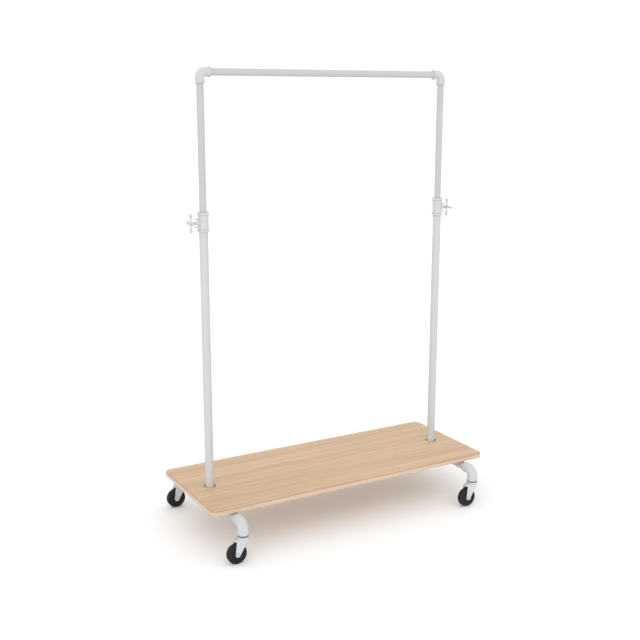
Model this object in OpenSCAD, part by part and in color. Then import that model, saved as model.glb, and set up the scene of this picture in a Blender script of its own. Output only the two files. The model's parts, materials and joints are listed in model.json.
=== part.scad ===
// Rolling garment rack: a wood deck on four swivel casters, two telescopic posts and a hanging rail.
// The origin is on the floor under the middle of the deck. X runs along the rail and Z is up.

/* [Deck] */
// Length of the deck along the rail
deck_l = 1219; // [1180:1:1300]
// Depth of the deck across the rail
deck_w = 473; // [440:1:480]
// Thickness of the deck
deck_t = 19; // [17:1:25]
// Radius of the deck's corners in plan
corner_r = 24; // [15:1:60]
// Thickness of the edge band
band_t = 2; // [1:0.5:3]
// Diameter of the hole round each post
post_hole_d = 45; // [44:0.5:52]

/* [Posts and rail] */
// Distance between the two post axes
post_spacing = 1033; // [1000:1:1060]
// Height of the rail's axis above the floor
rail_z = 1714; // [1500:1:1990]
// Outside diameter of the lower tubes and the cross tubes
low_tube_d = 31.75; // [31:0.05:32]
// Wall thickness of the lower tubes and the cross tubes
low_wall = 1.7; // [1.6:0.05:1.8]
// Outside diameter of the upper tubes and the rail
up_tube_d = 25.4; // [25:0.1:25.4]
// Wall thickness of the upper tubes and the rail
up_wall = 1.5; // [1.2:0.1:2]
// Length of each upper tube
up_tube_l = 914; // [860:1:1000]

/* [Height clamps] */
// Height of each collar's lower end above the floor
collar_z = 1156; // [1000:1:1160]
// Length of each collar
collar_h = 72; // [68:1:80]
// Outside diameter of a collar between its rims
collar_d = 37.5; // [37:0.5:40]
// Outside diameter of a collar's rims
collar_rim_d = 44; // [42:0.5:48]
// Distance of the cross handle's plane from the post axis
handle_x = 48; // [46:1:60]
// Radius of the cross handle, from its axis to the end of an arm
handle_r = 34.5; // [32:0.5:40]

/* [Pipe fittings] */
// Outside diameter of the elbows and tees under the deck
low_fit_d = 40.5; // [40:0.5:41.5]
// Distance from a lower fitting's centre to its end faces
low_reach = 42; // [41:1:46]
// Outside diameter of the top elbows
top_fit_d = 32.5; // [32:0.5:34]
// Distance from a top elbow's centre to its end faces
top_reach = 38; // [37:1:42]

/* [Casters] */
// Distance between the front and rear caster stems
caster_spacing = 578; // [570:1:600]
// Height from the floor to the top of a caster's raceway plate
caster_h = 100; // [98:1:106]
// Diameter of a wheel
wheel_d = 75; // [70:1:75]
// Width of a wheel's tread
wheel_w = 24; // [20:1:24]
// Distance of the axle behind the stem
caster_trail = 27; // [24:1:28]

/* [Hidden] */
$fn = 64;

metal = "#D3D4D4";
zinc = "#B9BBBD";
wood_face = "#D6B797";
wood_edge = "#E2CAAD";
black = "#2A2A2C";
dark_plastic = "#55585A";

// Clearances: a shaft in its bore, and two faces that pass each other
running = 0.05;
gap = 0.3;

low_rim_d = low_fit_d + 1.5;
low_rim_h = 3;
low_bend_r = 27;
low_bore = low_tube_d - 2 * low_wall;
tee_stop = 20;
tee_top = 32;
flange_t = 5;
axis_z = caster_h + flange_t + low_reach;
deck_z = axis_z + low_rim_d / 2;
post_x = post_spacing / 2;
caster_y = caster_spacing / 2;

up_bore = up_tube_d - 2 * up_wall;
top_bend_r = 20;
bead_d = top_fit_d + 6;
bead_h = 4;
up_top = rail_z - top_bend_r;
up_end = up_top - up_tube_l;

low_top = collar_z + 26;
handle_z = collar_z + 33;
bush_z = collar_z + 46;
rim_h = 9.5;
rim_slope = 3.5;
boss_d = 16;
boss_end = 27;
nut_d = 13;
nut_end = 33;
set_screw_d = 4.5;
set_screw_end = 34;
set_screw_step = 15;
screw_boss_d = 10;
screw_boss_tip_d = 6.5;
screw_boss_end = 23.5;

screw_d = 10;
pad_d = 9.6;
pad_t = 4.7;
pad_x = up_tube_d / 2 + 0.06;
spigot_d = 5;
spigot_l = 3.2;

strap_y = 150;
strap_w = 20;
strap_t = 1.5;
ear_l = 18;
wood_screw_d = 4;
wood_screw_l = 15;

race_d = 45;
race_t = 5;
kingpin_d = 12;
stem_d = 11;
crown_z = 86;
crown_t = 3.4;
crown_back = -31;
crown_front = 13.5;
nose_x = -22.5;
nose_r = 15.5;
nose_h = 6;
fork_top = caster_h - race_t - gap;
leg_t = 2.5;
leg_y = wheel_w / 2 + 1 + gap;
leg_tip_r = 9.7;
axle_d = 8;
axle_z = wheel_d / 2;
bush_d = 12;
bolt_w = 13;
bolt_h = 5;

// The point where a line from p touches the circle of radius r about c, on one side of it
function touch(p, c, r, side) =
    let (v = p - c, a = atan2(v[1], v[0]) + side * acos(r / norm(v)))
    c + r * [cos(a), sin(a)];

// A hollow cylinder standing on its end
module sleeve(d, bore, h) {
    difference() {
        cylinder(d = d, h = h);
        translate([0, 0, -1]) cylinder(d = bore, h = h + 2);
    }
}

// A ring with a fully round outer edge
module bead(d, bore, h) {
    reach = (d - bore) / 2;
    rotate_extrude() translate([bore / 2, 0]) {
        square([reach - h / 2, h]);
        translate([reach - h / 2, h / 2]) circle(d = h);
    }
}

// A rectangle about the origin with round corners
module round_rectangle(l, w, r) {
    square([l - 2 * r, w], center = true);
    square([l, w - 2 * r], center = true);
    for (x = [-1, 1], y = [-1, 1])
        translate([x * (l / 2 - r), y * (w / 2 - r)]) circle(r = r);
}

// A quarter turn of solid bar from straight down to along X, with its corner at the origin
module bent_bar(d, bend_r, reach) {
    translate([bend_r, 0, -bend_r])
        rotate([90, 0, 0])
            rotate([0, 0, 90])
                rotate_extrude(angle = 90) translate([bend_r, 0]) circle(d = d);
    translate([0, 0, -reach]) cylinder(d = d, h = reach - bend_r);
    translate([bend_r, 0, 0]) rotate([0, 90, 0]) cylinder(d = d, h = reach - bend_r);
}

// Places its children at a post, turned so that +X points away from the rack
module at_post(side) {
    translate([side * post_x, 0, 0]) rotate([0, 0, side < 0 ? 180 : 0]) children();
}

// Places its children at a caster's stem, all casters facing the same way
module at_stem(side, depth) {
    translate([side * post_x, depth * caster_y, 0]) children();
}

// Deck

module base_panel() {
    color(wood_face)
    translate([0, 0, deck_z])
    difference() {
        linear_extrude(deck_t)
            round_rectangle(deck_l - 2 * band_t, deck_w - 2 * band_t, corner_r - band_t);
        for (side = [-1, 1])
            translate([side * post_x, 0, -1]) cylinder(d = post_hole_d, h = deck_t + 2);
        at_strap_screws() cylinder(d = wood_screw_d, h = wood_screw_l - strap_t);
    }
}

module edge_band() {
    color(wood_edge)
    translate([0, 0, deck_z])
    linear_extrude(deck_t)
    difference() {
        round_rectangle(deck_l, deck_w, corner_r);
        round_rectangle(deck_l - 2 * band_t, deck_w - 2 * band_t, corner_r - band_t);
    }
}

// Places its children at each strap screw's axis, with Z = 0 at the deck's underside
module at_strap_screws() {
    for (side = [-1, 1], depth = [-1, 1], ear = [-1, 1])
        translate([side * post_x + ear * (low_tube_d / 2 + strap_t + ear_l / 2), depth * strap_y, 0])
            children();
}

// Pipe work under the deck

module tee(side) {
    color(metal)
    translate([side * post_x, 0, axis_z])
    difference() {
        union() {
            rotate([90, 0, 0]) cylinder(d = low_fit_d, h = 2 * low_reach, center = true);
            for (end = [-1, 1])
                translate([0, end * (low_reach - low_rim_h / 2), 0])
                    rotate([90, 0, 0]) cylinder(d = low_rim_d, h = low_rim_h, center = true);
            cylinder(d = low_fit_d, h = tee_top);
            translate([0, 0, tee_top - low_rim_h]) cylinder(d = low_rim_d, h = low_rim_h);
        }
        rotate([90, 0, 0]) cylinder(d = low_tube_d, h = 2 * low_reach + 2, center = true);
        cylinder(d = low_tube_d, h = tee_top + 1);
    }
}

module cross_tube(side, depth) {
    color(metal)
    translate([side * post_x, depth * tee_stop, axis_z])
    rotate([depth * -90, 0, 0])
    sleeve(low_tube_d, low_bore, caster_y - low_bend_r - tee_stop);
}

module lower_elbow(side, depth) {
    color(metal)
    translate([side * post_x, depth * caster_y, axis_z])
    rotate([0, 0, depth * -90])
    difference() {
        union() {
            bent_bar(low_fit_d, low_bend_r, low_reach);
            translate([0, 0, -low_reach]) cylinder(d = low_rim_d, h = low_rim_h);
            translate([low_reach - low_rim_h, 0, 0])
                rotate([0, 90, 0]) cylinder(d = low_rim_d, h = low_rim_h);
        }
        bent_bar(low_tube_d, low_bend_r, low_reach + 1);
    }
}

// The flat outline of a two-hole strap, with the tube's axis at the origin
module strap_outline(rise) {
    outer_r = low_tube_d / 2 + strap_t;
    difference() {
        union() {
            circle(r = outer_r);
            translate([-outer_r, 0]) square([2 * outer_r, rise]);
            translate([-outer_r - ear_l, rise - strap_t]) square([2 * (outer_r + ear_l), strap_t]);
        }
        circle(d = low_tube_d);
        translate([-low_tube_d / 2, 0]) square([low_tube_d, rise + 1]);
    }
}

module pipe_straps(side) {
    color(zinc)
    difference() {
        for (depth = [-1, 1])
            translate([side * post_x, depth * strap_y + strap_w / 2, axis_z])
                rotate([90, 0, 0]) linear_extrude(strap_w) strap_outline(deck_z - axis_z);
        translate([0, 0, deck_z - strap_t - 1])
            at_strap_screws() cylinder(d = wood_screw_d, h = strap_t + 2);
    }
}

module strap_screws() {
    color(zinc)
    translate([0, 0, deck_z - strap_t])
    at_strap_screws() {
        cylinder(d = wood_screw_d, h = wood_screw_l);
        translate([0, 0, -2.2]) cylinder(d1 = 5, d2 = 8, h = 2.2);
    }
}

// Posts

module lower_tube(side) {
    start = axis_z + tee_stop;
    color(metal)
    translate([side * post_x, 0, start])
    sleeve(low_tube_d, low_bore, low_top - start);
}

// A thick band at a collar's end, sloping back to the end face on one side and to the collar on the other
module collar_rim() {
    rim_r = collar_rim_d / 2;
    rotate_extrude() polygon([
        [low_tube_d / 2, 0], [rim_r - rim_slope, 0], [rim_r, rim_slope],
        [rim_r, rim_h - 1.5], [rim_r - 1.5, rim_h], [low_tube_d / 2, rim_h],
    ]);
}

module height_collar(side) {
    color(metal)
    at_post(side)
    difference() {
        union() {
            translate([0, 0, collar_z]) {
                cylinder(d = collar_d, h = collar_h);
                collar_rim();
                translate([0, 0, collar_h]) mirror([0, 0, 1]) collar_rim();
            }
            for (step = [-1, 1])
                translate([15, 0, handle_z + step * set_screw_step])
                    rotate([0, 90, 0])
                        cylinder(d1 = screw_boss_d, d2 = screw_boss_tip_d, h = screw_boss_end - 15);
            translate([15, 0, handle_z]) rotate([0, 90, 0]) {
                cylinder(d = boss_d, h = boss_end - 15);
                cylinder(d = nut_d, h = nut_end - 15, $fn = 6);
            }
        }
        translate([0, 0, collar_z - 1]) cylinder(d = low_tube_d, h = low_top - collar_z + 1);
        translate([0, 0, low_top - 1]) cylinder(d = low_bore, h = collar_h);
        translate([0, 0, handle_z]) rotate([0, 90, 0]) cylinder(d = screw_d + 2 * running, h = nut_end + 1);
        for (step = [-1, 1])
            translate([0, 0, handle_z + step * set_screw_step])
                rotate([0, 90, 0]) cylinder(d = set_screw_d, h = collar_d);
    }
}

// The lower screw bites on the lower tube and the upper one on the guide bush
module collar_set_screws(side) {
    color(zinc)
    at_post(side)
    for (step = [-1, 1]) {
        start = (step < 0 ? low_tube_d : low_bore) / 2;
        translate([start, 0, handle_z + step * set_screw_step])
            rotate([0, 90, 0]) difference() {
                union() {
                    cylinder(d = set_screw_d, h = set_screw_end - start);
                    translate([0, 0, set_screw_end - start - 4]) cylinder(d = 5.6, h = 4);
                }
                translate([0, 0, set_screw_end - start - 2.5]) cylinder(d = 2.9, h = 3, $fn = 6);
            }
    }
}

// A plastic ring in the collar's upper half that guides the upper tube
module guide_bush(side) {
    color(dark_plastic)
    translate([side * post_x, 0, bush_z])
    sleeve(low_bore, up_tube_d + 2 * running, collar_z + collar_h - bush_z);
}

module upper_tube(side) {
    color(metal)
    translate([side * post_x, 0, up_end])
    sleeve(up_tube_d, up_bore, up_tube_l);
}

// A plug in the upper tube's lower end with a sliding shoulder that fits the lower tube
module tube_glide(side) {
    color(dark_plastic)
    translate([side * post_x, 0, up_end])
    difference() {
        union() {
            translate([0, 0, -12]) cylinder(d = low_bore - 2 * running, h = 12);
            cylinder(d = up_bore, h = 20);
        }
        translate([0, 0, -13]) cylinder(d = up_bore - 5, h = 34);
    }
}

module top_elbow(side) {
    color(metal)
    translate([side * post_x, 0, rail_z])
    rotate([0, 0, side < 0 ? 0 : 180])
    difference() {
        union() {
            bent_bar(top_fit_d, top_bend_r, top_reach);
            translate([0, 0, -top_reach]) bead(bead_d, up_tube_d, bead_h);
            translate([top_reach - bead_h, 0, 0]) rotate([0, 90, 0]) bead(bead_d, up_tube_d, bead_h);
        }
        bent_bar(up_tube_d, top_bend_r, top_reach + 1);
    }
}

module hanging_rail() {
    half = post_x - top_bend_r;
    color(metal)
    translate([-half, 0, rail_z])
    rotate([0, 90, 0])
    sleeve(up_tube_d, up_bore, 2 * half);
}

// Height clamps

module clamp_pad(side) {
    color(zinc)
    at_post(side)
    translate([pad_x, 0, handle_z])
    rotate([0, 90, 0])
    difference() {
        cylinder(d = pad_d, h = pad_t);
        translate([0, 0, pad_t - spigot_l - gap])
            cylinder(d = spigot_d + 2 * running, h = spigot_l + gap + 1);
    }
}

module clamp_screw(side) {
    face = pad_x + pad_t + gap;
    color(zinc)
    at_post(side)
    translate([face, 0, handle_z])
    rotate([0, 90, 0]) {
        cylinder(d = screw_d, h = handle_x - face);
        translate([0, 0, -spigot_l - gap]) cylinder(d = spigot_d, h = spigot_l + gap);
    }
}

// Half the outline of one arm: a thin neck that swells into a round-ended bulb
module arm_outline() {
    neck_r = 2.8;
    bulb_r = 6.2;
    centre = handle_r - bulb_r;
    swell = [handle_r / 2, neck_r];
    edge = touch(swell, [centre, 0], bulb_r, -1);
    intersection() {
        union() {
            translate([0, centre]) circle(r = bulb_r);
            polygon([[0, 0], [neck_r, 0], [neck_r, swell[0]], [edge[1], edge[0]], [0, edge[0]]]);
        }
        square([bulb_r + 1, handle_r + 1]);
    }
}

module cross_handle(side) {
    color(metal)
    at_post(side)
    translate([handle_x, 0, handle_z])
    difference() {
        union() {
            for (turn = [0:90:270]) rotate([turn, 0, 0]) rotate_extrude() arm_outline();
            translate([-7, 0, 0]) rotate([0, 90, 0]) cylinder(d = 13.5, h = 12);
            translate([5, 0, 0]) rotate([0, 90, 0]) cylinder(d1 = 13.5, d2 = 9, h = 2.5);
        }
        translate([-8, 0, 0]) rotate([0, 90, 0]) cylinder(d = screw_d, h = 8);
    }
}

// Casters

module stem_socket(side, depth) {
    color(dark_plastic)
    at_stem(side, depth)
    difference() {
        union() {
            translate([0, 0, caster_h]) cylinder(d = low_rim_d - 3, h = flange_t);
            translate([0, 0, caster_h + flange_t]) cylinder(d = low_tube_d, h = low_reach - low_bend_r);
        }
        translate([0, 0, caster_h - 1]) cylinder(d = stem_d, h = low_reach + 2);
    }
}

// The stem, the upper raceway plate and the kingpin are riveted into one piece
module caster_stem(side, depth) {
    head_h = 3;
    head_z = crown_z - gap - head_h;
    color(zinc)
    at_stem(side, depth) {
        translate([0, 0, caster_h]) cylinder(d = stem_d, h = flange_t + low_reach - low_bend_r);
        translate([0, 0, caster_h - race_t]) cylinder(d = race_d, h = race_t);
        translate([0, 0, head_z]) cylinder(d = kingpin_d, h = caster_h - race_t - head_z);
        translate([0, 0, head_z]) cylinder(d = 20, h = head_h);
    }
}

// The flat outline of a fork leg, seen from the side, with the stem's axis at X = 0
module leg_outline() {
    tip = [-caster_trail, axle_z];
    back = [crown_back, crown_z + crown_t];
    front = [crown_front, crown_z + crown_t];
    polygon([back, front, touch(front, tip, leg_tip_r, -1), tip, touch(back, tip, leg_tip_r, 1)]);
    translate(tip) circle(r = leg_tip_r);
}

module caster_fork(side, depth) {
    width = 2 * (leg_y + leg_t);
    color(metal)
    at_stem(side, depth)
    difference() {
        union() {
            translate([0, 0, crown_z]) cylinder(d = race_d - 2, h = crown_t);
            translate([0, 0, crown_z + crown_t]) cylinder(d = race_d, h = fork_top - crown_z - crown_t);
            translate([crown_back, -width / 2, crown_z]) cube([crown_front - crown_back, width, crown_t]);
            translate([nose_x, 0, crown_z]) cylinder(r = nose_r, h = nose_h);
            for (face = [-leg_y, leg_y + leg_t])
                translate([0, face, 0]) rotate([90, 0, 0]) linear_extrude(leg_t) leg_outline();
        }
        translate([0, 0, crown_z - 1]) cylinder(d = kingpin_d + 2 * running, h = 20);
        translate([-caster_trail, 0, axle_z])
            rotate([90, 0, 0]) cylinder(d = axle_d, h = width + 2, center = true);
    }
}

// A hexagon bolt through both fork legs, with its nut as a second piece
module axle_bolt(side, depth) {
    reach = leg_y + leg_t;
    color(zinc)
    at_stem(side, depth)
    translate([-caster_trail, 0, axle_z])
    rotate([90, 0, 0]) {
        translate([0, 0, -reach - bolt_h]) cylinder(d = axle_d, h = 2 * reach + bolt_h);
        translate([0, 0, reach]) cylinder(d = bolt_w / cos(30), h = bolt_h, $fn = 6);
        translate([0, 0, -reach - bolt_h]) difference() {
            cylinder(d = bolt_w / cos(30), h = bolt_h, $fn = 6);
            translate([0, 0, -1]) cylinder(d = axle_d, h = bolt_h + 2);
        }
    }
}

// The section of a wheel from its bush to its tread, with the axle along Y
module wheel_outline() {
    outer = wheel_d / 2;
    shoulder = 6;
    translate([outer - shoulder, 0]) square([2 * shoulder, wheel_w - 2 * shoulder], center = true);
    translate([outer - 1.5 * shoulder, 0]) square([shoulder, wheel_w], center = true);
    for (edge = [-1, 1])
        translate([outer - shoulder, edge * (wheel_w / 2 - shoulder)]) circle(r = shoulder);
    translate([(bush_d / 2 + outer - shoulder) / 2, 0])
        square([outer - shoulder - bush_d / 2, wheel_w * 0.75], center = true);
    translate([(bush_d / 2 + 11) / 2, 0]) square([11 - bush_d / 2, wheel_w + 1], center = true);
}

module wheel(side, depth) {
    color(black)
    at_stem(side, depth)
    translate([-caster_trail, 0, axle_z])
    rotate([90, 0, 0]) rotate_extrude($fn = 96) wheel_outline();
}

module wheel_bush(side, depth) {
    half = leg_y - gap;
    color(zinc)
    at_stem(side, depth)
    translate([-caster_trail, half, axle_z])
    rotate([90, 0, 0])
    sleeve(bush_d, axle_d + 2 * running, 2 * half);
}

base_panel();
edge_band();
tee(-1);  // tee_left
tee(1);  // tee_right
cross_tube(-1, -1);  // cross_tube_left_front
cross_tube(-1, 1);  // cross_tube_left_rear
cross_tube(1, -1);  // cross_tube_right_front
cross_tube(1, 1);  // cross_tube_right_rear
lower_elbow(-1, -1);  // lower_elbow_left_front
lower_elbow(-1, 1);  // lower_elbow_left_rear
lower_elbow(1, -1);  // lower_elbow_right_front
lower_elbow(1, 1);  // lower_elbow_right_rear
pipe_straps(-1);  // pipe_straps_left
pipe_straps(1);  // pipe_straps_right
strap_screws();
lower_tube(-1);  // lower_tube_left
lower_tube(1);  // lower_tube_right
height_collar(-1);  // height_collar_left
height_collar(1);  // height_collar_right
collar_set_screws(-1);  // collar_set_screws_left
collar_set_screws(1);  // collar_set_screws_right
guide_bush(-1);  // guide_bush_left
guide_bush(1);  // guide_bush_right
stem_socket(-1, -1);  // stem_socket_left_front
stem_socket(-1, 1);  // stem_socket_left_rear
stem_socket(1, -1);  // stem_socket_right_front
stem_socket(1, 1);  // stem_socket_right_rear
caster_stem(-1, -1);  // caster_stem_left_front
caster_stem(-1, 1);  // caster_stem_left_rear
caster_stem(1, -1);  // caster_stem_right_front
caster_stem(1, 1);  // caster_stem_right_rear
upper_tube(-1);  // upper_tube_left
upper_tube(1);  // upper_tube_right
tube_glide(-1);  // tube_glide_left
tube_glide(1);  // tube_glide_right
top_elbow(-1);  // top_elbow_left
top_elbow(1);  // top_elbow_right
hanging_rail();
clamp_pad(-1);  // clamp_pad_left
clamp_pad(1);  // clamp_pad_right
clamp_screw(-1);  // clamp_screw_left
clamp_screw(1);  // clamp_screw_right
cross_handle(-1);  // cross_handle_left
cross_handle(1);  // cross_handle_right
caster_fork(-1, -1);  // caster_fork_left_front
caster_fork(-1, 1);  // caster_fork_left_rear
caster_fork(1, -1);  // caster_fork_right_front
caster_fork(1, 1);  // caster_fork_right_rear
axle_bolt(-1, -1);  // axle_bolt_left_front
axle_bolt(-1, 1);  // axle_bolt_left_rear
axle_bolt(1, -1);  // axle_bolt_right_front
axle_bolt(1, 1);  // axle_bolt_right_rear
wheel(-1, -1);  // wheel_left_front
wheel(-1, 1);  // wheel_left_rear
wheel(1, -1);  // wheel_right_front
wheel(1, 1);  // wheel_right_rear
wheel_bush(-1, -1);  // wheel_bush_left_front
wheel_bush(-1, 1);  // wheel_bush_left_rear
wheel_bush(1, -1);  // wheel_bush_right_front
wheel_bush(1, 1);  // wheel_bush_right_rear
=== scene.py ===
import json
import math

import bpy
from mathutils import Matrix, Vector


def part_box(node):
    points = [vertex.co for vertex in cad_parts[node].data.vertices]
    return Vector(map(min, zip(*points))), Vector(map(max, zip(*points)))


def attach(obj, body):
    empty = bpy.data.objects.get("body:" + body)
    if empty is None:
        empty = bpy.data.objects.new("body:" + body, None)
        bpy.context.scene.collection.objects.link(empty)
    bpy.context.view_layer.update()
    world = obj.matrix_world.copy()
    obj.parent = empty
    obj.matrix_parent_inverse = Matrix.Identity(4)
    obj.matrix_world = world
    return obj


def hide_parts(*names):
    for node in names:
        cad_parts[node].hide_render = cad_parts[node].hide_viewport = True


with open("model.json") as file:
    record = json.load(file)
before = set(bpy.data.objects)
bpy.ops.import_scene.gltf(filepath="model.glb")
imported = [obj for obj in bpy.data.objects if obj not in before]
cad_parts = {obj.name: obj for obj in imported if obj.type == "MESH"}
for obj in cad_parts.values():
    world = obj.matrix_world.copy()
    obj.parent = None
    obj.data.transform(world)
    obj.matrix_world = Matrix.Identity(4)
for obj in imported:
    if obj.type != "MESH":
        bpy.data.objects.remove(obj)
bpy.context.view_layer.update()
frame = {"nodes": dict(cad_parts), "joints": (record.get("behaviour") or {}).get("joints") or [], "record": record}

SIDES = {"left": -1, "right": 1}
DEPTHS = {"front": -1, "rear": 1}
CORNERS = [f"{side}_{depth}" for side in SIDES for depth in DEPTHS]
JOINTS = {joint["name"]: joint for joint in frame["joints"]}

MM = 0.001
ROUND = 96
BEND_STEPS = 24
MERGE = 1e-6
SIDEWAYS = (1, 0, 0)
BACKWARD = (0, 1, 0)
FORWARD = (0, -1, 0)
UP = Vector((0, 0, 1))


# ---------------------------------------------------------------- sizes, read from the frame

def box_of(node):
    """The low and the high corner of a node's box."""
    low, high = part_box(node)
    return Vector(low), Vector(high)


def middle(node):
    low, high = box_of(node)
    return (low + high) / 2


def span(node):
    low, high = box_of(node)
    return high - low


POST_X = middle("lower_tube_right").x
LOW_TUBE = span("lower_tube_right").x
LOW_BORE = span("guide_bush_right").x
UP_TUBE = span("upper_tube_right").x
UP_WALL = 1.5 * MM
UP_BORE = UP_TUBE - 2 * UP_WALL
RAIL_Z = middle("hanging_rail").z
STEM = {corner: Vector(JOINTS["caster_swivel_" + corner]["pos_m"]) for corner in CORNERS}
HANDLE = Vector(JOINTS["handle_turn_right"]["pos_m"])
AXLE = Vector(JOINTS["wheel_spin_right_front"]["pos_m"])
TRAIL = STEM["right_front"].x - AXLE.x
SOCKET_FLANGE = 5 * MM
SET_SCREW_STEP = 15 * MM
NUT_FLATS = 13 * MM
CROWN_LIFT = 3.3 * MM
CROWN_RISE = 3.4 * MM
CROWN_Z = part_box("caster_stem_right_front")[0][2] + CROWN_LIFT
CROWN_TOP = CROWN_Z + CROWN_RISE
DECK_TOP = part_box("base_panel")[1][2]
CORNER_R = 24 * MM
POST_HOLE_R = 22.5 * MM
# How far down from the deck's top the painted shade on the edge band's rim reaches.
PAINTED_RIM_SHADE = 4.5 * MM


# ---------------------------------------------------------------- camera, floor and light

CAMERA_SPOT = (-1.9091, -3.2589, 1.6381)
CAMERA_YAW = 29.909
CAMERA_DROP = 12.874
CAMERA_ROLL = 0.085
SENSOR = 36.0
LENS = 55.53
FLOOR_SIZE = 60
FLOOR_WHITE = 0.95
ROOM_STRENGTH = 1.05
LAMP_STRENGTH = 0.85
LAMP_SPREAD = 70
LAMP_TILT = 62


def set_camera():
    data = bpy.data.cameras.new("camera")
    data.sensor_width = SENSOR
    data.lens = LENS
    camera = bpy.data.objects.new("camera", data)
    bpy.context.scene.collection.objects.link(camera)
    turn = Matrix.Rotation(math.radians(-CAMERA_YAW), 4, "Z")
    tilt = Matrix.Rotation(math.radians(90 - CAMERA_DROP), 4, "X")
    roll = Matrix.Rotation(math.radians(CAMERA_ROLL), 4, "Z")
    camera.matrix_world = Matrix.Translation(CAMERA_SPOT) @ turn @ tilt @ roll
    bpy.context.scene.camera = camera


def set_floor():
    bpy.ops.object.select_all(action="DESELECT")
    bpy.ops.mesh.primitive_plane_add(size=FLOOR_SIZE, location=(0, 0, 0))
    floor = bpy.context.active_object
    floor.name = "studio_floor"
    material, *_, shader = new_material("floor_paper")
    shader.inputs["Base Color"].default_value = (FLOOR_WHITE, FLOOR_WHITE, FLOOR_WHITE, 1)
    shader.inputs["Roughness"].default_value = 0.9
    shader.inputs["Specular IOR Level"].default_value = 0.1
    floor.data.materials.append(material)


def set_light():
    world = bpy.data.worlds.new("studio")
    bpy.context.scene.world = world
    world.use_nodes = True
    room = world.node_tree.nodes["Background"]
    room.inputs["Color"].default_value = (1, 1, 1, 1)
    room.inputs["Strength"].default_value = ROOM_STRENGTH
    bpy.context.scene.view_settings.view_transform = "Standard"
    data = bpy.data.lights.new("wide_front_light", "SUN")
    data.energy = LAMP_STRENGTH
    data.angle = math.radians(LAMP_SPREAD)
    lamp = bpy.data.objects.new("wide_front_light", data)
    bpy.context.scene.collection.objects.link(lamp)
    lamp.rotation_euler = (math.radians(LAMP_TILT), 0, math.radians(-CAMERA_YAW))


# ---------------------------------------------------------------- material workshop

DUST = 0.08
MARK_ROUGHNESS = 0.08
DUST_ROUGHNESS = 0.06
GRAIN_DRIFT = 0.05
BAND_SHARE = 0.28
STREAK_SHARE = 0.57
FIBRE_SHARE = 0.15
FIBRE_RELIEF = 0.4
GRAIN_DEPTH = 0.08 * MM
WOOD_SHINE = 0.35


def new_material(name):
    material = bpy.data.materials.new(name)
    material.use_nodes = True
    nodes = material.node_tree.nodes
    return material, nodes, material.node_tree.links, nodes["Principled BSDF"]


def new_group(name, inputs, outputs):
    """An empty node group; inputs maps a name to (socket type, default), outputs a name to a socket type."""
    group = bpy.data.node_groups.new(name, "ShaderNodeTree")
    for label, (kind, value) in inputs.items():
        group.interface.new_socket(label, in_out="INPUT", socket_type=kind).default_value = value
    for label, kind in outputs.items():
        group.interface.new_socket(label, in_out="OUTPUT", socket_type=kind)
    nodes = group.nodes
    return group, nodes, group.links, nodes.new("NodeGroupInput"), nodes.new("NodeGroupOutput")


def place_group(nodes, group, **values):
    """The group as a node in a material, with its input values set by name."""
    node = nodes.new("ShaderNodeGroup")
    node.node_tree = group
    for label, value in values.items():
        node.inputs[label.replace("_", " ")].default_value = value
    return node


def plug(links, socket, value):
    """Feeds a socket from another socket, or sets its own value."""
    if isinstance(value, bpy.types.NodeSocket):
        links.new(value, socket)
    else:
        socket.default_value = value


def math_node(nodes, links, operation, first, second):
    node = nodes.new("ShaderNodeMath")
    node.operation = operation
    plug(links, node.inputs[0], first)
    plug(links, node.inputs[1], second)
    return node.outputs[0]


def times(nodes, links, first, second):
    return math_node(nodes, links, "MULTIPLY", first, second)


def plus(nodes, links, first, second):
    return math_node(nodes, links, "ADD", first, second)


def noise(nodes, links, vector, scale, detail, roughness=0.5):
    node = nodes.new("ShaderNodeTexNoise")
    node.inputs["Detail"].default_value = detail
    node.inputs["Roughness"].default_value = roughness
    plug(links, node.inputs["Scale"], scale)
    links.new(vector, node.inputs["Vector"])
    return node.outputs["Fac"]


def spread(nodes, links, value, low, high, out_low=0.0, out_high=1.0):
    """Maps a value between low and high to one between out_low and out_high."""
    node = nodes.new("ShaderNodeMapRange")
    node.inputs["From Min"].default_value = low
    node.inputs["From Max"].default_value = high
    node.inputs["To Min"].default_value = out_low
    node.inputs["To Max"].default_value = out_high
    links.new(value, node.inputs["Value"])
    return node.outputs["Result"]


def mix_colour(nodes, links, amount, first, second, blend="MIX"):
    node = nodes.new("ShaderNodeMix")
    node.data_type = "RGBA"
    node.blend_type = blend
    colours = [socket for socket in node.inputs if socket.type == "RGBA"]
    plug(links, node.inputs[0], amount)
    plug(links, colours[0], first)
    plug(links, colours[1], second)
    return node.outputs[2]


def stretched(nodes, links, vector, stretch):
    """A place stretched along each axis."""
    mapping = nodes.new("ShaderNodeMapping")
    mapping.inputs["Scale"].default_value = stretch
    links.new(vector, mapping.inputs["Vector"])
    return mapping.outputs["Vector"]


def object_place(nodes):
    """Object coordinates in metres."""
    return nodes.new("ShaderNodeTexCoord").outputs["Object"]


def add_bump(nodes, links, shader, height, distance):
    bump = nodes.new("ShaderNodeBump")
    bump.inputs["Distance"].default_value = distance
    links.new(height, bump.inputs["Height"])
    links.new(bump.outputs["Normal"], shader.inputs["Normal"])


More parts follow.
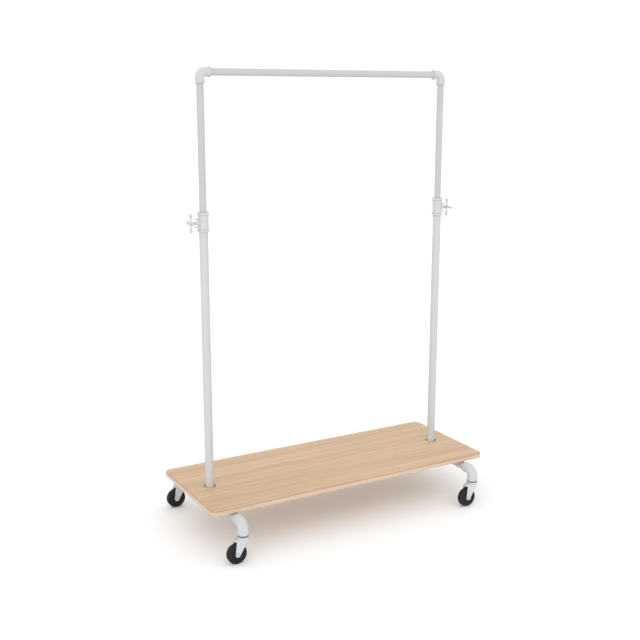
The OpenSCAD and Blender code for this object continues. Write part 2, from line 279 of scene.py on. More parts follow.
def make_coat_group():
    """Powder coat: a fine orange peel, faint dust and handling marks, and rubbed outer edges."""
    group, nodes, links, inside, outside = new_group(
        "powder_coat",
        {
            "Colour": ("NodeSocketColor", (0.6, 0.6, 0.6, 1)),
            "Rubbed Colour": ("NodeSocketColor", (0.8, 0.8, 0.8, 1)),
            "Peel Scale": ("NodeSocketFloat", 900.0),
            "Rough": ("NodeSocketFloat", 0.45),
            "Wear": ("NodeSocketFloat", 0.3),
        },
        {"Colour": "NodeSocketColor", "Roughness": "NodeSocketFloat", "Height": "NodeSocketFloat"},
    )
    place = object_place(nodes)
    peel = noise(nodes, links, place, inside.outputs["Peel Scale"], detail=2.0)
    cloud = noise(nodes, links, place, scale=6.0, detail=3.0)
    handled = noise(nodes, links, place, scale=70.0, detail=6.0, roughness=0.7)
    marks = spread(nodes, links, handled, 0.56, 0.75)
    geometry = nodes.new("ShaderNodeNewGeometry")
    edge = spread(nodes, links, geometry.outputs["Pointiness"], 0.52, 0.62)
    rubbed = times(nodes, links, edge, inside.outputs["Wear"])
    shade_amount = spread(nodes, links, cloud, 0.3, 0.7, 0.0, 0.5)
    shade = mix_colour(nodes, links, shade_amount, (0, 0, 0, 1), (1, 1, 1, 1))
    dusty = mix_colour(nodes, links, DUST, inside.outputs["Colour"], shade, "SOFT_LIGHT")
    worn = mix_colour(nodes, links, rubbed, dusty, inside.outputs["Rubbed Colour"])
    links.new(worn, outside.inputs["Colour"])
    rough = plus(nodes, links, inside.outputs["Rough"], times(nodes, links, marks, MARK_ROUGHNESS))
    rough = plus(nodes, links, rough, times(nodes, links, cloud, DUST_ROUGHNESS))
    links.new(rough, outside.inputs["Roughness"])
    links.new(peel, outside.inputs["Height"])
    return group


def make_grain_group():
    """Straight wood grain along X: broad bands, fine streaks and short dark pores."""
    group, nodes, links, inside, outside = new_group(
        "wood_grain",
        {
            "Light": ("NodeSocketColor", (0.7, 0.5, 0.35, 1)),
            "Dark": ("NodeSocketColor", (0.6, 0.42, 0.28, 1)),
            "Pore": ("NodeSocketColor", (0.45, 0.3, 0.19, 1)),
            "Pore Amount": ("NodeSocketFloat", 0.5),
        },
        {"Colour": "NodeSocketColor", "Roughness": "NodeSocketFloat", "Height": "NodeSocketFloat"},
    )
    place = object_place(nodes)
    drift = noise(nodes, links, stretched(nodes, links, place, (1.1, 3.0, 1.0)), scale=1.6, detail=3.0)
    lean = nodes.new("ShaderNodeCombineXYZ")
    links.new(times(nodes, links, drift, GRAIN_DRIFT), lean.inputs["Y"])
    bent = nodes.new("ShaderNodeVectorMath")
    bent.operation = "ADD"
    links.new(place, bent.inputs[0])
    links.new(lean.outputs[0], bent.inputs[1])

    def along_grain(lengthways, crossways, detail, roughness=0.5):
        board = stretched(nodes, links, bent.outputs[0], (lengthways, crossways, crossways))
        return noise(nodes, links, board, 1.0, detail, roughness)

    bands = along_grain(0.9, 22.0, detail=3.0, roughness=0.55)
    streaks = along_grain(1.8, 95.0, detail=5.0, roughness=0.7)
    fibres = along_grain(22.0, 1400.0, detail=3.0, roughness=0.6)
    pores = spread(nodes, links, along_grain(60.0, 1900.0, detail=1.0), 0.66, 0.74)
    tone = times(nodes, links, spread(nodes, links, bands, 0.32, 0.68), BAND_SHARE)
    streak_tone = spread(nodes, links, streaks, 0.34, 0.66)
    tone = plus(nodes, links, tone, times(nodes, links, streak_tone, STREAK_SHARE))
    fibre_tone = spread(nodes, links, fibres, 0.3, 0.7)
    tone = plus(nodes, links, tone, times(nodes, links, fibre_tone, FIBRE_SHARE))
    wood = mix_colour(nodes, links, tone, inside.outputs["Light"], inside.outputs["Dark"])
    pitted = times(nodes, links, pores, inside.outputs["Pore Amount"])
    links.new(mix_colour(nodes, links, pitted, wood, inside.outputs["Pore"]), outside.inputs["Colour"])
    links.new(spread(nodes, links, streaks, 0.2, 0.8, 0.42, 0.56), outside.inputs["Roughness"])
    height = math_node(nodes, links, "SUBTRACT", times(nodes, links, fibres, FIBRE_RELIEF), pores)
    links.new(height, outside.inputs["Height"])
    return group


def coat_material(name, group, colour, rubbed, peel_scale, peel_depth, rough, wear, shine=0.5, metal=0.0):
    material, nodes, links, shader = new_material(name)
    coat = place_group(nodes, group, Colour=colour, Rubbed_Colour=rubbed, Peel_Scale=peel_scale,
                       Rough=rough, Wear=wear)
    links.new(coat.outputs["Colour"], shader.inputs["Base Color"])
    links.new(coat.outputs["Roughness"], shader.inputs["Roughness"])
    add_bump(nodes, links, shader, coat.outputs["Height"], peel_depth)
    shader.inputs["Metallic"].default_value = metal
    shader.inputs["Specular IOR Level"].default_value = shine
    return material


def wood_material(name, group, light, dark, pore, pore_amount, rim=None):
    """Wood with a grain; a rim colour paints shade in patches along the rounded top of the deck's edge band."""
    material, nodes, links, shader = new_material(name)
    grain = place_group(nodes, group, Light=light, Dark=dark, Pore=pore, Pore_Amount=pore_amount)
    colour = grain.outputs["Colour"]
    if rim:
        # Painted shade: the band darkens towards the rim colour over its top few millimetres, along its rounded
        # top rim, with the strength varied in patches by a noise.
        place = object_place(nodes)
        parts = nodes.new("ShaderNodeSeparateXYZ")
        links.new(place, parts.inputs[0])
        edge = spread(nodes, links, parts.outputs["Z"], DECK_TOP - PAINTED_RIM_SHADE, DECK_TOP - 0.6 * PAINTED_RIM_SHADE)
        patches = noise(nodes, links, place, scale=25.0, detail=3.0)
        patchy = spread(nodes, links, patches, 0.2, 0.6, 0.65, 1.0)
        colour = mix_colour(nodes, links, times(nodes, links, edge, patchy), colour, rim)
    links.new(colour, shader.inputs["Base Color"])
    links.new(grain.outputs["Roughness"], shader.inputs["Roughness"])
    add_bump(nodes, links, shader, grain.outputs["Height"], GRAIN_DEPTH)
    shader.inputs["Specular IOR Level"].default_value = WOOD_SHINE
    return material


def make_materials():
    coat = make_coat_group()
    grain = make_grain_group()
    return {
        "coated_steel": coat_material(
            "grey_powder_coat", coat, colour=(0.553, 0.553, 0.555, 1), rubbed=(0.62, 0.62, 0.62, 1),
            peel_scale=1100, peel_depth=0.06 * MM, rough=0.5, wear=0.3, shine=0.04),
        # Painted shade: a darker copy of the grey coat for the upper tubes and the rail, so the upper frame reads
        # darker than the lower one under the same light.
        "upper_coat_painted_shade": coat_material(
            "upper_frame_coat_painted_shade", coat, colour=(0.497, 0.498, 0.5, 1), rubbed=(0.57, 0.57, 0.57, 1),
            peel_scale=1100, peel_depth=0.06 * MM, rough=0.48, wear=0.3, shine=0.04),
        "cast_coat": coat_material(
            "cast_fitting_coat", coat, colour=(0.553, 0.562, 0.567, 1), rubbed=(0.65, 0.65, 0.65, 1),
            peel_scale=480, peel_depth=0.14 * MM, rough=0.48, wear=0.35, shine=0.1),
        "fork_steel": coat_material(
            "pressed_fork_coat", coat, colour=(0.568, 0.583, 0.595, 1), rubbed=(0.68, 0.68, 0.69, 1),
            peel_scale=900, peel_depth=0.06 * MM, rough=0.4, wear=0.4, shine=0.2),
        "zinc": coat_material(
            "zinc_plate", coat, colour=(0.62, 0.63, 0.65, 1), rubbed=(0.8, 0.8, 0.8, 1),
            peel_scale=1500, peel_depth=0.03 * MM, rough=0.32, wear=0.4, metal=0.9),
        "dark_plastic": coat_material(
            "dark_nylon", coat, colour=(0.06, 0.065, 0.07, 1), rubbed=(0.11, 0.11, 0.12, 1),
            peel_scale=1300, peel_depth=0.05 * MM, rough=0.55, wear=0.3, shine=0.3),
        "wheel_rubber": coat_material(
            "black_wheel", coat, colour=(0.0125, 0.0125, 0.0135, 1), rubbed=(0.03, 0.03, 0.03, 1),
            peel_scale=700, peel_depth=0.08 * MM, rough=0.65, wear=0.4, shine=0.3),
        "deck_wood": wood_material(
            "beech_face", grain, light=(0.685, 0.485, 0.315, 1), dark=(0.45, 0.295, 0.170, 1),
            pore=(0.36, 0.23, 0.14, 1), pore_amount=0.4),
        # The edge band's rim colour is painted shade for its rounded top edge.
        "edge_band": wood_material(
            "beech_edge", grain, light=(0.675, 0.507, 0.378, 1), dark=(0.57, 0.41, 0.29, 1),
            pore=(0.48, 0.34, 0.23, 1), pore_amount=0.25, rim=(0.41, 0.275, 0.175, 1)),
    }


# ---------------------------------------------------------------- modelling workshop

def only(*pieces):
    bpy.ops.object.select_all(action="DESELECT")
    for piece in pieces:
        piece.select_set(True)
    bpy.context.view_layer.objects.active = pieces[0]


def start_ring(name, radius, height, filled=False, steps=ROUND):
    """A ring about Z, left open in edit mode with all of it selected."""
    bpy.ops.object.select_all(action="DESELECT")
    fill = "NGON" if filled else "NOTHING"
    bpy.ops.mesh.primitive_circle_add(vertices=steps, radius=radius, fill_type=fill, location=(0, 0, height))
    piece = bpy.context.active_object
    piece.name = name
    bpy.ops.object.transform_apply(location=True, rotation=True, scale=True)
    bpy.ops.object.mode_set(mode="EDIT")
    bpy.ops.mesh.select_all(action="SELECT")
    return piece


def extend(step, scale, centre, along):
    """Extrudes the selected ring by a step and then scales it across the axis called along."""
    bpy.ops.mesh.extrude_region_move(TRANSFORM_OT_translate={"value": step})
    if abs(scale - 1) > MERGE:
        across = [scale] * 3
        across["XYZ".index(along)] = 1
        bpy.ops.transform.resize(value=across, center_override=centre)


def close_up(piece):
    """Merges doubles, points the faces outwards and leaves edit mode."""
    bpy.ops.mesh.select_all(action="SELECT")
    bpy.ops.mesh.remove_doubles(threshold=MERGE)
    bpy.ops.mesh.normals_make_consistent(inside=False)
    bpy.ops.object.mode_set(mode="OBJECT")
    return piece


def turned(name, outline, solid=False, steps=ROUND):
    """A turned shape about Z from (radius, height) points. A solid one has flat ends at its first and last
    points, and any other is closed from its last point back to its first."""
    points = outline if solid else outline + outline[:1]
    radius, height = points[0]
    piece = start_ring(name, radius, height, solid, steps)
    for next_radius, next_height in points[1:]:
        extend((0, 0, next_height - height), next_radius / radius, (0, 0, next_height), "Z")
        radius, height = next_radius, next_height
    return close_up(piece)


def select_edges(piece, wanted):
    """Leaves the piece in edit mode with the edges selected whose two ends pass a test."""
    only(piece)
    bpy.ops.object.mode_set(mode="EDIT")
    bpy.ops.mesh.select_mode(type="EDGE")
    bpy.ops.mesh.select_all(action="DESELECT")
    bpy.ops.object.mode_set(mode="OBJECT")
    for edge in piece.data.edges:
        first, second = (piece.data.vertices[i].co for i in edge.vertices)
        edge.select = wanted(first, second)
    bpy.ops.object.mode_set(mode="EDIT")


def round_edges(piece, radius, segments, wanted):
    """Rounds the edges that pass a test."""
    select_edges(piece, wanted)
    bpy.ops.mesh.bevel(offset=radius, offset_type="OFFSET", segments=segments, affect="EDGES")
    bpy.ops.object.mode_set(mode="OBJECT")


def arc(centre_radius, centre_height, radius, start, end, count=6):
    """Points on an arc in the (radius, height) plane, angles in degrees from the outward direction."""
    angles = [math.radians(start + (end - start) * i / count) for i in range(count + 1)]
    return [(centre_radius + radius * math.cos(a), centre_height + radius * math.sin(a)) for a in angles]


def soften(piece, width, angle=35):
    """Rounds the sharp edges and shades the rest smooth."""
    only(piece)
    bevel = piece.modifiers.new("soften", "BEVEL")
    bevel.width = width
    bevel.segments = 2
    bevel.limit_method = "ANGLE"
    bevel.angle_limit = math.radians(angle)
    bevel.loop_slide = False
    bpy.ops.object.modifier_apply(modifier=bevel.name)
    smooth(piece, angle)


def smooth(piece, angle=35):
    """Shades a piece smooth except at its sharp edges, with flat faces kept flat."""
    only(piece)
    bpy.ops.object.shade_smooth_by_angle(angle=math.radians(angle))
    even = piece.modifiers.new("even_shading", "WEIGHTED_NORMAL")
    even.keep_sharp = True
    bpy.ops.object.modifier_apply(modifier=even.name)


def combine(piece, other, operation):
    """A boolean of piece with other, which is used up."""
    boolean = piece.modifiers.new("combine", "BOOLEAN")
    boolean.operation = operation
    boolean.solver = "EXACT"
    boolean.object = other
    only(piece)
    bpy.ops.object.modifier_apply(modifier=boolean.name)
    bpy.data.objects.remove(other)
    bpy.ops.object.mode_set(mode="EDIT")
    return close_up(piece)


def rod(radius, length, spot, axis, steps=ROUND):
    """A plain bar, only used to cut or build other pieces."""
    bar = turned("rod", [(radius, 0), (radius, length)], solid=True, steps=steps)
    return settle(bar, spot, axis)


def settle(piece, spot, axis=UP, spin=0.0):
    """Turns a piece from Z to axis, moves it to spot and applies both to its mesh."""
    turn = UP.rotation_difference(Vector(axis)).to_matrix().to_4x4()
    twist = Matrix.Rotation(math.radians(spin), 4, "Z")
    piece.matrix_world = Matrix.Translation(spot) @ turn @ twist
    only(piece)
    bpy.ops.object.transform_apply(location=True, rotation=True, scale=True)
    return piece


def copy_of(pattern, place):
    """A copy with its own mesh, moved by a matrix that is applied to it."""
    only(pattern)
    bpy.ops.object.duplicate(linked=False)
    piece = bpy.context.active_object
    piece.matrix_world = place
    bpy.ops.object.transform_apply(location=True, rotation=True, scale=True)
    return piece


def joined(pieces):
    only(*pieces)
    bpy.ops.object.join()
    return bpy.context.active_object


def drill(piece, radius, length, spot, axis, steps=ROUND):
    """Cuts a round hole of a given length that starts at spot and runs along axis."""
    return combine(piece, rod(radius, length, spot, axis, steps), "DIFFERENCE")


def finish_piece(piece, material, node):
    """Gives a piece its finish and puts it in its node's place, on the node's body."""
    piece.name = "finished_" + node
    piece.data.materials.clear()
    piece.data.materials.append(material)
    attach(piece, body_of_node(node))
    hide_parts(node)


def body_of_node(node):
    bodies = frame["record"]["behaviour"]["bodies"]
    return next(body for body, members in bodies.items() if node in members)


def at_posts(offset=(0, 0, 0)):
    """The places of both posts, turned so that +X points away from the rack, and moved by an offset."""
    places = {}
    for side, sign in SIDES.items():
        turn = Matrix.Rotation(math.pi if side == "left" else 0, 4, "Z")
        places[side] = Matrix.Translation((sign * POST_X, 0, 0)) @ turn @ Matrix.Translation(offset)
    return places


def at_corners(offset=(0, 0, 0)):
    """The places under the swivels of all casters, moved by an offset."""
    places = {}
    for corner in CORNERS:
        places[corner] = Matrix.Translation((STEM[corner].x, STEM[corner].y, 0)) @ Matrix.Translation(offset)
    return places


def fit_copies(pattern, node, places, material):
    """Puts a finished copy of a pattern at each place, and drops the pattern."""
    for spot, place in places.items():
        finish_piece(copy_of(pattern, place), material, f"{node}_{spot}")
    bpy.data.objects.remove(pattern)


# ---------------------------------------------------------------- tubes

def make_tube(node, outer, bore, axis, material):
    length = span(node).dot(Vector(axis))
    chamfer = 0.3 * MM
    tube = turned("tube", [
        (bore / 2, 0), (outer / 2 - chamfer, 0), (outer / 2, chamfer),
        (outer / 2, length - chamfer), (outer / 2 - chamfer, length), (bore / 2, length)])
    settle(tube, middle(node) - Vector(axis) * length / 2, axis)
    smooth(tube)
    finish_piece(tube, material, node)


def make_tubes(materials):
    coat = materials["coated_steel"]
    # The upper tubes and the rail take the darker copy of the coat, which is painted shade.
    upper_coat_painted_shade = materials["upper_coat_painted_shade"]
    for side in SIDES:
        make_tube("lower_tube_" + side, LOW_TUBE, LOW_BORE, UP, coat)
        make_tube("upper_tube_" + side, UP_TUBE, UP_BORE, UP, upper_coat_painted_shade)
    for corner in CORNERS:
        make_tube("cross_tube_" + corner, LOW_TUBE, LOW_BORE, BACKWARD, coat)
    make_tube("hanging_rail", UP_TUBE, UP_BORE, SIDEWAYS, upper_coat_painted_shade)


# ---------------------------------------------------------------- elbows and tees

RIM_H = 3 * MM
RIM_STEP = 0.75 * MM
EDGE_EASE = 0.5 * MM


def make_elbow(name, outline, bore, bend_r):
    """A quarter bend from straight down to along X with its corner at the origin. The outline runs from the
    end face to the bend as (radius, distance from the corner)."""
    radius, reach = outline[0]
    end_reach = reach
    piece = start_ring(name, radius, -reach)
    for next_radius, next_reach in outline[1:]:
        extend((0, 0, reach - next_reach), next_radius / radius, (0, 0, -next_reach), "Z")
        radius, reach = next_radius, next_reach
    centre = (bend_r, 0, -bend_r)
    bpy.ops.mesh.spin(steps=BEND_STEPS, angle=-math.pi / 2, center=centre, axis=BACKWARD)
    for next_radius, next_reach in reversed(outline[:-1]):
        extend((next_reach - reach, 0, 0), next_radius / radius, (next_reach, 0, 0), "X")
        radius, reach = next_radius, next_reach
    extend((0, 0, 0), bore / 2 / radius, (reach, 0, 0), "X")
    extend((bend_r - reach, 0, 0), 1, (bend_r, 0, 0), "X")
    bpy.ops.mesh.spin(steps=BEND_STEPS, angle=math.pi / 2, center=centre, axis=BACKWARD)
    extend((0, 0, bend_r - end_reach), 1, (0, 0, -end_reach), "Z")
    extend((0, 0, 0), outline[0][0] / (bore / 2), (0, 0, -end_reach), "Z")
    return close_up(piece)


def make_lower_elbows(materials):
    low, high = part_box("lower_elbow_right_front")
    rim = (high[0] - low[0]) / 2
    body = rim - RIM_STEP
    axis_z = high[2] - rim
    reach = axis_z - low[2]
    bend_r = reach - span("stem_socket_right_front").z + SOCKET_FLANGE
    rim_end = reach - RIM_H
    outline = [(rim - EDGE_EASE, reach), (rim, reach - EDGE_EASE), (rim, rim_end + 0.4 * MM)]
    outline += [(rim - 0.3 * MM, rim_end), (body, rim_end - 0.6 * MM), (body, bend_r)]
    pattern = make_elbow("elbow_pattern", outline, LOW_TUBE, bend_r)
    smooth(pattern)
    places = {}
    for corner in CORNERS:
        turn = Matrix.Rotation(math.radians(-90 * DEPTHS[corner.split("_")[1]]), 4, "Z")
        places[corner] = Matrix.Translation((STEM[corner].x, STEM[corner].y, axis_z)) @ turn
    fit_copies(pattern, "lower_elbow", places, materials["cast_coat"])


def make_top_elbows(materials):
    low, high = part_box("top_elbow_right")
    bead_r = (high[1] - low[1]) / 2
    body = bead_r - 3 * MM
    reach = RAIL_Z - low[2]
    bend_r = reach - 18 * MM
    bead_h = 4 * MM
    crest = [(r, reach - bead_h / 2 - h) for r, h in arc(bead_r - bead_h / 2, 0, bead_h / 2, -90, 90, 8)]
    outline = crest + [(body + 0.5 * MM, reach - bead_h), (body, reach - bead_h - 0.8 * MM), (body, bend_r)]
    pattern = make_elbow("elbow_pattern", outline, UP_TUBE, bend_r)
    smooth(pattern)
    places = {}
    for side, sign in SIDES.items():
        turn = Matrix.Rotation(0 if side == "left" else math.pi, 4, "Z")
        places[side] = Matrix.Translation((sign * POST_X, 0, RAIL_Z)) @ turn
    fit_copies(pattern, "top_elbow", places, materials["cast_coat"])


def make_tees(materials):
    low, high = box_of("tee_right")
    rim = (high.x - low.x) / 2
    body = rim - RIM_STEP
    axis_z = low.z + rim
    reach = (high.y - low.y) / 2
    top = high.z - axis_z
    step = 0.6 * MM
    apart = step / 20
    end = [(rim - EDGE_EASE, 0), (rim, EDGE_EASE), (rim, RIM_H - 0.4 * MM), (body, RIM_H + step)]
    run_outline = end + [(r, 2 * reach - h) for r, h in reversed(end)]
    pattern = settle(turned("tee_pattern", run_outline, solid=True), (0, -reach, 0), BACKWARD)
    branch_outline = [(body - apart, 0)] + [(r - apart, top - h) for r, h in reversed(end)]
    combine(pattern, turned("branch", branch_outline, solid=True), "UNION")
    drill(pattern, LOW_TUBE / 2, 3 * reach, (0, -1.5 * reach, 0), BACKWARD)
    drill(pattern, LOW_TUBE / 2 - apart, 2 * top, (0, 0, 0), UP)
    smooth(pattern)
    places = {side: Matrix.Translation((sign * POST_X, 0, axis_z)) for side, sign in SIDES.items()}
    fit_copies(pattern, "tee", places, materials["cast_coat"])


# ---------------------------------------------------------------- deck

def rounded_slab(name, length, width, thickness, corner_r, z):
    """A slab with upright round corners, its underside at z."""
    bpy.ops.object.select_all(action="DESELECT")
    bpy.ops.mesh.primitive_cube_add(size=1, location=(0, 0, z + thickness / 2))
    slab = bpy.context.active_object
    slab.name = name
    slab.scale = (length, width, thickness)
    bpy.ops.object.transform_apply(location=True, rotation=True, scale=True)
    round_edges(slab, corner_r, 12, lambda first, second: abs(first.z - second.z) > thickness / 2)
    return slab


def make_deck(materials):
    low, high = box_of("base_panel")
    outer_low, outer_high = box_of("edge_band")
    thickness = high.z - low.z
    band = low.x - outer_low.x
    inner_r = CORNER_R - band
    panel = rounded_slab("panel", high.x - low.x, high.y - low.y, thickness, inner_r, low.z)
    soften(panel, 0.3 * MM)
    for sign in SIDES.values():
        combine(panel, hole_cutter(POST_HOLE_R, thickness, (sign * POST_X, 0, low.z)), "DIFFERENCE")
    smooth(panel)
    finish_piece(panel, materials["deck_wood"], "base_panel")

    size = outer_high - outer_low
    ring = rounded_slab("band", size.x, size.y, thickness, CORNER_R, low.z)
    round_edges(ring, 0.8 * band, 4, lambda first, second: abs(first.z - second.z) < thickness / 2)
    core_z = low.z - thickness / 2
    core = rounded_slab("core", high.x - low.x, high.y - low.y, 2 * thickness, inner_r, core_z)
    combine(ring, core, "DIFFERENCE")
    smooth(ring)
    finish_piece(ring, materials["edge_band"], "edge_band")


def hole_cutter(radius, thickness, spot):
    """A bar that cuts a round hole with slightly eased rims through a board standing on spot."""
    ease = 0.5 * MM
    flare = [(radius + ease - r, h) for r, h in arc(0, -ease, ease, 0, 90, 3)]
    upper = [(r, thickness + h) for r, h in flare] + [(radius + 2 * ease, thickness + ease)]
    outline = [(r, -h + thickness) for r, h in reversed(upper)] + upper
    return settle(turned("hole_cutter", outline, solid=True), spot, UP)


# ---------------------------------------------------------------- straps and screws under the deck

def start_strip(name, width, thick, x, z, heading):
    """The end face of a sheet strip that lies in the XZ plane, its width along Y, left open in edit mode."""
    bpy.ops.object.select_all(action="DESELECT")
    bpy.ops.mesh.primitive_plane_add(size=1, location=(0, 0, 0))
    strip = bpy.context.active_object
    strip.name = name
    turn = Matrix.Rotation(math.pi / 2 if heading == "X" else 0, 4, "Y")
    strip.matrix_world = Matrix.Translation((x, 0, z)) @ turn @ Matrix.Diagonal((thick, width, 1, 1))
    bpy.ops.object.transform_apply(location=True, rotation=True, scale=True)
    bpy.ops.object.mode_set(mode="EDIT")
    bpy.ops.mesh.select_all(action="SELECT")
    return strip


def bend_strip(degrees, x, z, steps):
    """Spins the strip's end about a bend's centre, a positive angle turning it from +Z towards +X."""
    bpy.ops.mesh.spin(steps=steps, angle=math.radians(-degrees), center=(x, 0, z), axis=BACKWARD)


def run_strip(x, z):
    bpy.ops.mesh.extrude_region_move(TRANSFORM_OT_translate={"value": (x, 0, z)})


def make_strap(width, thick, outer_r, rise, ear_end):
    """A strip that runs from one ear to the other, down, round under the tube and up again."""
    middle_r = outer_r - thick / 2
    bend_r = thick
    ear_z = rise - thick / 2
    ear_run = ear_end - middle_r - bend_r
    strip = start_strip("strap_pattern", width, thick, -ear_end, ear_z, "X")
    run_strip(ear_run, 0)
    bend_strip(90, -middle_r - bend_r, ear_z - bend_r, 6)
    run_strip(0, bend_r - ear_z)
    bend_strip(-180, 0, 0, 32)
    run_strip(0, ear_z - bend_r)
    bend_strip(90, middle_r + bend_r, ear_z - bend_r, 6)
    run_strip(ear_run, 0)
    return close_up(strip)


def make_straps(materials):
    """The strap pairs; gives back where their screws go, off each post's axis and off the rack's middle."""
    low, high = box_of("pipe_straps_right")
    thick = 1.5 * MM
    width = 20 * MM
    hole_r = 2.05 * MM
    outer_r = LOW_TUBE / 2 + thick
    rise = high.z - low.z - outer_r
    ear_end = (high.x - low.x) / 2
    screw_x = (outer_r + ear_end) / 2
    strap_y = (high.y - low.y - width) / 2
    pattern = make_strap(width, thick, outer_r, rise, ear_end)
    for x in (-screw_x, screw_x):
        drill(pattern, hole_r, 3 * thick, (x, 0, rise - 2 * thick), UP, 32)
    smooth(pattern)
    for side, sign in SIDES.items():
        straps = []
        for depth in DEPTHS.values():
            place = Matrix.Translation((sign * POST_X, depth * strap_y, low.z + outer_r))
            straps.append(copy_of(pattern, place))
        finish_piece(joined(straps), materials["zinc"], "pipe_straps_" + side)
    bpy.data.objects.remove(pattern)
    return screw_x, strap_y


def box_piece(low, high):
    """A plain block between two corners, only used to cut or build other pieces."""
    low, high = Vector(low), Vector(high)
    bpy.ops.object.select_all(action="DESELECT")
    bpy.ops.mesh.primitive_cube_add(size=1, location=(low + high) / 2)
    block = bpy.context.active_object
    block.scale = high - low
    bpy.ops.object.transform_apply(location=True, rotation=True, scale=True)
    return block


def make_wood_screws(materials, screw_x, strap_y):
    low, high = box_of("strap_screws")
    length = high.z - low.z
    head_h = 2.2 * MM
    head_r = 4 * MM
    dome_r = 0.9 * MM
    shank_r = 1.95 * MM
    root_r = 1.4 * MM
    pitch = 1.6 * MM
    slot_half = Vector((2.2 * MM, 0.45 * MM, 0))
    slot_depth = 1.1 * MM
    outline = [(head_r * 0.55, 0)] + arc(head_r - dome_r, dome_r, dome_r, -60, 0, 4)
    outline += [(head_r, head_h), (shank_r, head_h)]
    for turn in range(int((length - head_h - 3 * MM) / pitch)):
        start = head_h + 0.8 * MM + turn * pitch
        outline += [(root_r, start), (root_r, start + pitch * 0.5), (shank_r, start + pitch * 0.75)]
    outline += [(root_r, length - 2 * MM), (0.3 * MM, length)]
    pattern = turned("screw_pattern", outline, solid=True, steps=32)
    for turn in (0, 90):
        slot = box_piece(-slot_half - UP * MM, slot_half + UP * slot_depth)
        slot.matrix_world = Matrix.Rotation(math.radians(turn), 4, "Z")
        combine(pattern, slot, "DIFFERENCE")
    smooth(pattern, 40)
    screws = []
    for side in SIDES.values():
        for depth in DEPTHS.values():
            for ear in (-1, 1):
                spot = (side * POST_X + ear * screw_x, depth * strap_y, low.z)
                screws.append(copy_of(pattern, Matrix.Translation(spot)))
    finish_piece(joined(screws), materials["zinc"], "strap_screws")
    bpy.data.objects.remove(pattern)


# ---------------------------------------------------------------- height clamps

SET_SCREW_R = 2.25 * MM
CLAMP_SCREW_R = 5 * MM


def make_collars(materials):
    low, high = box_of("height_collar_right")
    height = high.z - low.z
    rim_r = (high.y - low.y) / 2
    body_r = 18.75 * MM
    rim_h = 9.5 * MM
    slope = 3.5 * MM
    seat = 26 * MM
    groove_r = body_r - 0.6 * MM
    rim = [(rim_r - slope - 0.4 * MM, 0), (rim_r - slope + 0.4 * MM, 0.25 * MM)]
    rim += [(rim_r - 0.3 * MM, slope - 0.5 * MM), (rim_r, slope + 0.2 * MM), (rim_r, rim_h - 1.9 * MM)]
    rim += [(rim_r - 0.3 * MM, rim_h - 1.3 * MM), (rim_r - 1.5 * MM, rim_h - 0.1 * MM)]
    rim += [(groove_r, rim_h), (groove_r, rim_h + 0.9 * MM), (body_r, rim_h + 1.5 * MM)]
    outline = [(LOW_TUBE / 2, 0)] + rim + [(r, height - h) for r, h in reversed(rim)]
    outline += [(LOW_BORE / 2, height), (LOW_BORE / 2, seat), (LOW_TUBE / 2, seat)]
    pattern = turned("collar_pattern", outline)

    handle_z = HANDLE.z - low.z
    bore_r = CLAMP_SCREW_R + 0.05 * MM
    boss_r = 10.5 * MM
    boss_end = 27 * MM
    fillet = 2.5 * MM
    boss = [(boss_r, 16.5 * MM)] + arc(boss_r, 20.5 * MM, fillet, -90, -180, 5)
    boss += [(boss_r - fillet, boss_end - 0.6 * MM), (boss_r - 3.1 * MM, boss_end), (bore_r, boss_end)]
    boss_piece = turned("boss", boss, solid=True, steps=64)
    combine(pattern, settle(boss_piece, (0, 0, handle_z), SIDEWAYS), "UNION")
    nut_start = 24 * MM
    nut_end = high.x - POST_X
    nut = hexagon(NUT_FLATS, nut_end - nut_start)
    combine(pattern, settle(nut, (nut_start, 0, handle_z), SIDEWAYS), "UNION")
    drill(pattern, bore_r, nut_end, (2 * MM, 0, handle_z), SIDEWAYS, 64)
    lug_outline = [(5 * MM, 15 * MM), (3.5 * MM, 22.9 * MM), (2.9 * MM, 23.5 * MM)]
    for step in (-SET_SCREW_STEP, SET_SCREW_STEP):
        lug = turned("lug", lug_outline, solid=True, steps=48)
        combine(pattern, settle(lug, (0, 0, handle_z + step), SIDEWAYS), "UNION")
        drill(pattern, SET_SCREW_R, 2 * body_r, (0, 0, handle_z + step), SIDEWAYS, 32)
    soften(pattern, 0.25 * MM, 40)
    fit_copies(pattern, "height_collar", at_posts((0, 0, low.z)), materials["cast_coat"])


def hexagon(across_flats, height):
    """A hexagon nut or bolt head along Z with both faces chamfered."""
    corner_r = across_flats / math.sqrt(3)
    prism = turned("hexagon", [(corner_r, 0), (corner_r, height)], solid=True, steps=6)
    cut = 0.5 * MM
    cone = [(across_flats / 2 - cut, 0), (corner_r, (corner_r - across_flats / 2 + cut) * 0.5)]
    cone += [(r, height - h) for r, h in reversed(cone)]
    return combine(prism, turned("chamfer", cone, solid=True, steps=64), "INTERSECT")


def make_set_screws(materials):
    """Both screws of a collar: the lower one bears on the lower tube, the upper one on the guide bush."""
    end = box_of("collar_set_screws_right")[1].x - POST_X
    tip_r = 1.6 * MM
    head_r = 2.8 * MM
    head_h = 4 * MM
    head_ease = 0.6 * MM
    key_r = 1.45 * MM
    key_depth = 2.5 * MM
    screws = []
    for step, start in ((-SET_SCREW_STEP, LOW_TUBE / 2), (SET_SCREW_STEP, LOW_BORE / 2)):
        length = end - start
        outline = [(tip_r, 0), (SET_SCREW_R, 0.6 * MM), (SET_SCREW_R, length - head_h)]
        outline += [(head_r, length - head_h + 0.1 * MM)]
        outline += arc(head_r - head_ease, length - head_ease, head_ease, 0, 90, 3)
        outline += [(tip_r, length)]
        screw = turned("set_screw", outline, solid=True, steps=32)
        drill(screw, key_r, head_h, (0, 0, length - key_depth), UP, 6)
        soften(screw, 0.12 * MM)
        screws.append(settle(screw, (start, 0, HANDLE.z + step), SIDEWAYS))
    pair = joined(screws)
    fit_copies(pair, "collar_set_screws", at_posts(), materials["coated_steel"])


